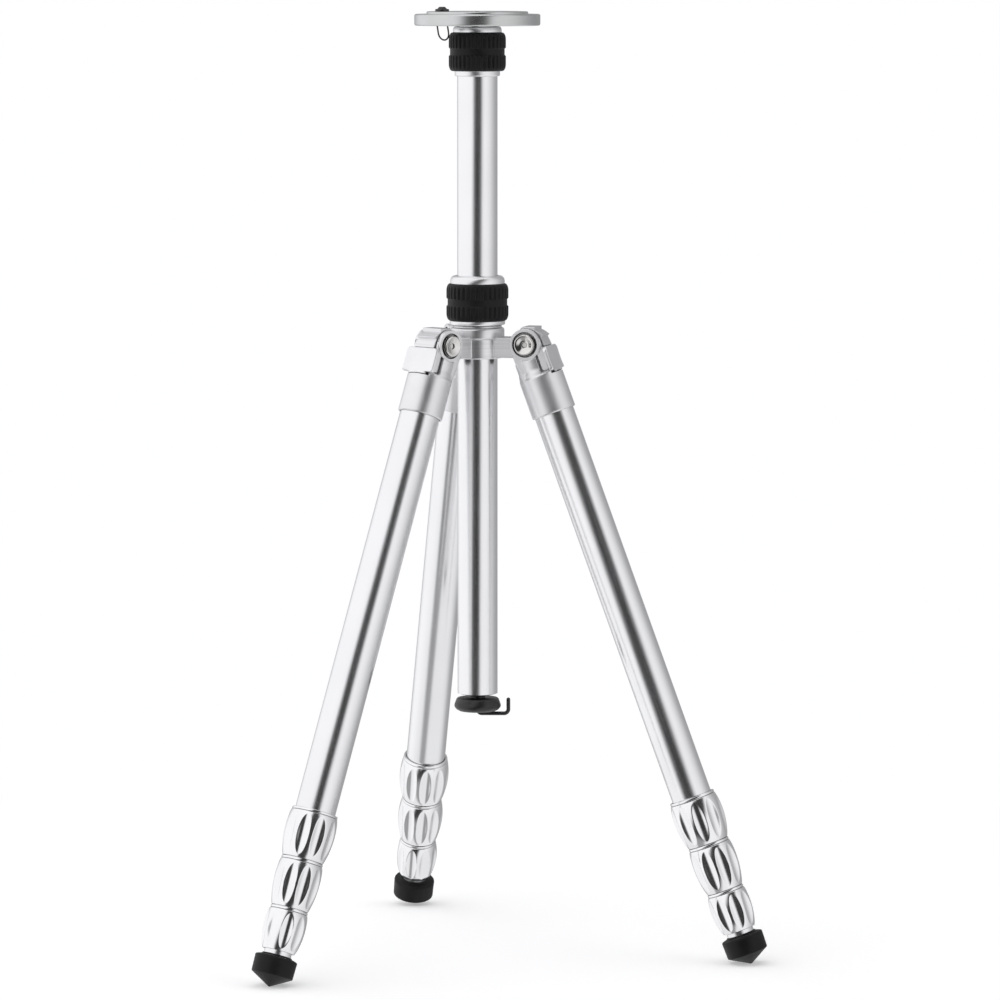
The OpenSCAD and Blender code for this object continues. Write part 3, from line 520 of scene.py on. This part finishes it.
def filleted(corners, radius=FILLET):
    """A closed outline with each corner rounded by its third value, or else by the given radius."""
    outline = []
    count = len(corners)
    for i, corner in enumerate(corners):
        here = Vector(corner[:2])
        size = corner[2] if len(corner) > 2 else radius
        before = Vector(corners[i - 1][:2]) - here
        after = Vector(corners[(i + 1) % count][:2]) - here
        half = before.angle(after) / 2
        reach = min(size / math.tan(half), before.length * FILLET_SHARE, after.length * FILLET_SHARE)
        if size == 0 or half > NEARLY_STRAIGHT:
            outline.append(here)
            continue
        start, end = here + before.normalized() * reach, here + after.normalized() * reach
        for step in range(FILLET_STEPS + 1):
            t = step / FILLET_STEPS
            outline.append(start * (1 - t) ** 2 + here * 2 * t * (1 - t) + end * t ** 2)
    return outline


TUBE_WALL = 1.2


def make_tube(node, place):
    """A tube turned from its wall's four corners."""
    low, high, reach = measure(node, place)
    corners = [(reach - TUBE_WALL, low), (reach, low), (reach, high), (reach - TUBE_WALL, high)]
    angles = [2 * math.pi * j / ROUND_SEGMENTS for j in range(ROUND_SEGMENTS)]
    rows = [[polar(p.x, a, p.y) for a in angles] for p in filleted(corners)]
    add_piece(node + "_smooth", ring_mesh(node, rows), place, node)


# ---------- twist locks ----------

LOCK_NAMES = ("upper_lock", "middle_lock", "lower_lock")
TUBE_NAMES = ("upper_tube", "middle_tube", "lower_tube", "foot_tube")
LOCK_FLUTES = (10, 10, 9)  # round the upper, middle and lower lock
LOCK_TURNS = {"front_left": (4, 6, 26), "front_right": (3, 22, 23), "rear": (9, 8, 9)}  # degrees
FLUTE_COLUMNS = 9
LAND_COLUMNS = 8
FLUTE_ROWS = 22
FLUTE_MARGIN = 0.06  # of the body's height, above and below the flutes
LEAST_REACH = 0.003  # half a flute's width, in radians, where it has run out

# millimetres
SHOULDER, BELLY, MOUTH = 2.1, 3.7, 1.7  # beyond the tube
LIP_H = 2.0
LIP_GROOVE = 0.45
LIP_STEP = 0.15  # that the lip stays inside the barrel's upper end
LIP_RAMP = 0.3
FLUTE_R = 6.6
TURN_GAP = 0.25
EDGE_HALF = 0.13  # half the width of the rounded edge between a flute and the land
THINNEST = 0.5  # the wall that a flute leaves at the least
MOUTH_H, SEAT_H = 3, 14  # up from the lock's lower end: where its bore begins to widen, and where it is full


def make_lock(leg, k, place):
    """A barrel with scooped flutes, which a lip and a groove end at the top."""
    node = f"{leg}_{LOCK_NAMES[k]}"
    low, high, _ = measure(node, place)
    bore = measure(f"{leg}_{TUBE_NAMES[k]}", place)[2] + TURN_GAP
    mouth_bore = measure(f"{leg}_{TUBE_NAMES[k + 1]}", place)[2] + TURN_GAP
    shoulder = bore - TURN_GAP + SHOULDER
    belly = bore - TURN_GAP + BELLY
    mouth = mouth_bore - TURN_GAP + MOUTH
    h = high - low
    body_h = h - LIP_H
    upper, lower = math.sqrt(belly - shoulder), math.sqrt(belly - mouth)
    belly_z = LIP_H + body_h * upper / (upper + lower)
    arc = ((h - belly_z) ** 2 + (belly - mouth) ** 2) / (2 * (belly - mouth))

    def body_r(z):
        """The barrel's radius at a height, without its flutes."""
        return belly - arc + math.sqrt(arc * arc - (z - belly_z) ** 2)

    ends = (LIP_H + body_h * FLUTE_MARGIN, LIP_H + body_h * (1 - FLUTE_MARGIN))
    edges = [body_r(z) for z in ends]
    pitch = 2 * math.pi / LOCK_FLUTES[k]
    phase = math.radians(LOCK_TURNS[leg][k])

    def row(z, r):
        """Points once round the lock, flute by flute: its floor, then the land beside it."""
        axis = edges[0] + (edges[1] - edges[0]) * (z - ends[0]) / (ends[1] - ends[0]) + FLUTE_R
        cosine = (axis ** 2 + r ** 2 - FLUTE_R ** 2) / (2 * axis * r)
        open_here = ends[0] < z < ends[1] and cosine < 1 and r > mouth_bore + THINNEST
        rim = EDGE_HALF / r
        reach = max(math.acos(cosine) - rim, LEAST_REACH) if open_here else LEAST_REACH
        points = []
        for flute in range(LOCK_FLUTES[k]):
            middle = phase + flute * pitch
            for i in range(FLUTE_COLUMNS):
                off = reach * (2 * i / (FLUTE_COLUMNS - 1) - 1)
                deep = axis * math.cos(off) - math.sqrt(FLUTE_R ** 2 - (axis * math.sin(off)) ** 2)
                points.append(polar(min(deep, r) if open_here else r, middle + off, z))
            first, last = reach + 2 * rim, pitch - reach - 2 * rim
            for i in range(LAND_COLUMNS):
                points.append(polar(r, middle + first + (last - first) * i / (LAND_COLUMNS - 1), z))
        return points

    lip_r = shoulder - LIP_STEP
    body_top = LIP_H + LIP_RAMP
    swing = [0.5 - 0.5 * math.cos(math.pi * i / FLUTE_ROWS) for i in range(FLUTE_ROWS + 1)]
    barrel = [(body_r(z), z, 0) for z in (ends[0] + (ends[1] - ends[0]) * t for t in swing)]
    # radius, height and fillet of each corner, from the upper end of the bore outwards and round
    outline = [
        (bore, 0, 0.2),
        (lip_r, 0, 0.7),
        (lip_r, LIP_H - 0.45, 0.3),
        (lip_r - LIP_GROOVE, LIP_H - 0.15, 0.1),
        (body_r(body_top), body_top, 0.3),
        *barrel,
        (body_r(h - 0.5), h - 0.5, 0),
        (mouth, h, 0.3),
        (mouth_bore + 0.3, h, 0.2),
        (mouth_bore, h - 0.6, 0.2),
        (mouth_bore, h - MOUTH_H, 0),
        (bore, h - SEAT_H, 0),
    ]
    rows = [row(p.y, p.x) for p in filleted(outline)]
    lifted = place @ Matrix.Translation((0, 0, low * MM))
    add_piece(node + "_fluted", ring_mesh(node, rows), lifted, node)


# ---------- column lock grips ----------

GRIP_RIBS = 36
RIB_COLUMNS = 12
CORNER_STEP = 10  # degrees

# millimetres
GRIP_WALL = 3.4
GRIP_CORNER = (2.4, 4.8)  # inwards, and up
WAIST_DEEP, WAIST_H = 0.85, 4.2
GROOVE_DEEP, GROOVE_HALF = 0.8, 1.3
WAIST_FILLET = 0.5


def make_grip(node, place):
    """A rubber sleeve with round ends, a plain waist and grooves between its ribs."""
    low, high, reach = measure(node, place)
    h = high - low
    band = (h - WAIST_H) / 2
    bore = reach - GRIP_WALL
    inwards, up = GRIP_CORNER
    curve = [math.radians(a) for a in range(0, 91, CORNER_STEP)]
    foot = [(reach - inwards * (1 - math.sin(a)), up * (1 - math.cos(a)), 0.1) for a in curve]
    head = [(r, h - z, size) for r, z, size in reversed(foot)]
    waist = [(reach, band - WAIST_DEEP), (reach - WAIST_DEEP, band),
             (reach - WAIST_DEEP, h - band), (reach, h - band + WAIST_DEEP)]
    outline = filleted([(bore, 0, 0.2), *foot, *waist, *head, (bore, h, 0.2)], WAIST_FILLET)
    pitch = 2 * math.pi / GRIP_RIBS
    angles = [pitch * j / RIB_COLUMNS for j in range(GRIP_RIBS * RIB_COLUMNS)]

    def floor_r(angle):
        """How far out the grooves' wave lets the surface stand."""
        off = reach * abs((angle + pitch / 2) % pitch - pitch / 2)
        return reach - GROOVE_DEEP * (0.5 + 0.5 * math.cos(math.pi * min(off / GROOVE_HALF, 1)))

    rows = [[polar(min(p.x, floor_r(a)), a, p.y) for a in angles] for p in outline]
    lifted = place @ Matrix.Translation((0, 0, low * MM))
    add_piece(node + "_ribbed", ring_mesh(node, rows), lifted, node)


# ---------- castings and turned pieces with rolled edges ----------

FLAT_ANGLE = math.radians(0.6)  # facets closer to one plane than this become one face
ROLL_STEPS = 3

# millimetres, with the width that each piece's edges are rolled by
WELD = 0.012
SLICE = 1.5
PAD_ROLL, PAD_DEPTH = 1.0, 0.7
ROLLED = {
    "hub": 0.35,
    "head_plate": 0.3,
    "column_cap": 0.3,
    "lower_lock_nut": 0.25,
    "upper_lock_nut": 0.25,
    "captive_screw": 0.12,
    "plate_screw": 0.12,
}
ROLLED_ON_LEGS = {"head": 0.35, "latch": 0.35, "hinge_bolt": 0.12, "hinge_nut": 0.12, "foot": 0.3}
# pieces whose faces are shaded by their area, which keeps flat ones flat up to their rolled edges
FLAT_SIDED = ("hub", "head_plate", "head", "latch", "hinge_bolt")


def roll(made, width, chosen=lambda edge: True):
    """Round a mesh's sharp edges, or those of them that are chosen."""
    sharp = [e for e in made.edges if e.calc_face_angle(0) > SMOOTH_ANGLE and chosen(e)]
    bmesh.ops.bevel(made, geom=sharp, offset=width * MM, offset_type="OFFSET", segments=ROLL_STEPS,
                    profile=0.5, affect="EDGES", miter_outer="ARC")


def slice_across(made, step):
    """Cut long thin facets of a mesh into short ones, at even heights."""
    heights = [v.co.z for v in made.verts]
    z = min(heights) + step
    while z < max(heights):
        whole = made.verts[:] + made.edges[:] + made.faces[:]
        bmesh.ops.bisect_plane(made, geom=whole, plane_co=(0, 0, z), plane_no=(0, 0, 1))
        z += step


def make_rolled(node, kind, width, place):
    """The CAD piece again, with its sharp edges rolled over.

    A bolt keeps all its facets, since its dished face needs them for a smooth reflection.
    The latch's outer pad gets a wider roll than the rest of it.
    """
    made = bmesh.new()
    made.from_mesh(nodes[node].data)
    bmesh.ops.transform(made, matrix=place.inverted(), verts=made.verts)
    bmesh.ops.remove_doubles(made, verts=made.verts, dist=WELD * MM)
    bmesh.ops.dissolve_degenerate(made, edges=made.edges, dist=WELD * MM)
    if kind != "hinge_bolt":
        bmesh.ops.dissolve_limit(made, angle_limit=FLAT_ANGLE, verts=made.verts, edges=made.edges)
    if kind == "head":
        slice_across(made, SLICE * MM)
    if kind == "latch":
        outer = max(v.co.x for v in made.verts) - PAD_DEPTH * MM
        roll(made, PAD_ROLL, lambda edge: min(v.co.x for v in edge.verts) > outer)
    roll(made, width)
    mesh = bpy.data.meshes.new(node)
    made.to_mesh(mesh)
    made.free()
    piece = add_piece(node + "_rolled", mesh, place, node)
    if kind in FLAT_SIDED:
        flat = piece.modifiers.new("flat_faces", "WEIGHTED_NORMAL")
        flat.keep_sharp = True


for leg in LEGS:
    place = PLACES[leg]
    for tube in TUBE_NAMES:
        make_tube(f"{leg}_{tube}", place)
    for k in range(len(LOCK_NAMES)):
        make_lock(leg, k, place)
    for part, width in ROLLED_ON_LEGS.items():
        make_rolled(f"{leg}_{part}", part, width, place)
for tube in ("outer_column", "inner_column"):
    make_tube(tube, PLACES["column"])
for grip in ("lower_lock_grip", "upper_lock_grip"):
    make_grip(grip, PLACES["column"])
for part, width in ROLLED.items():
    make_rolled(part, part, width, PLACES["column"])
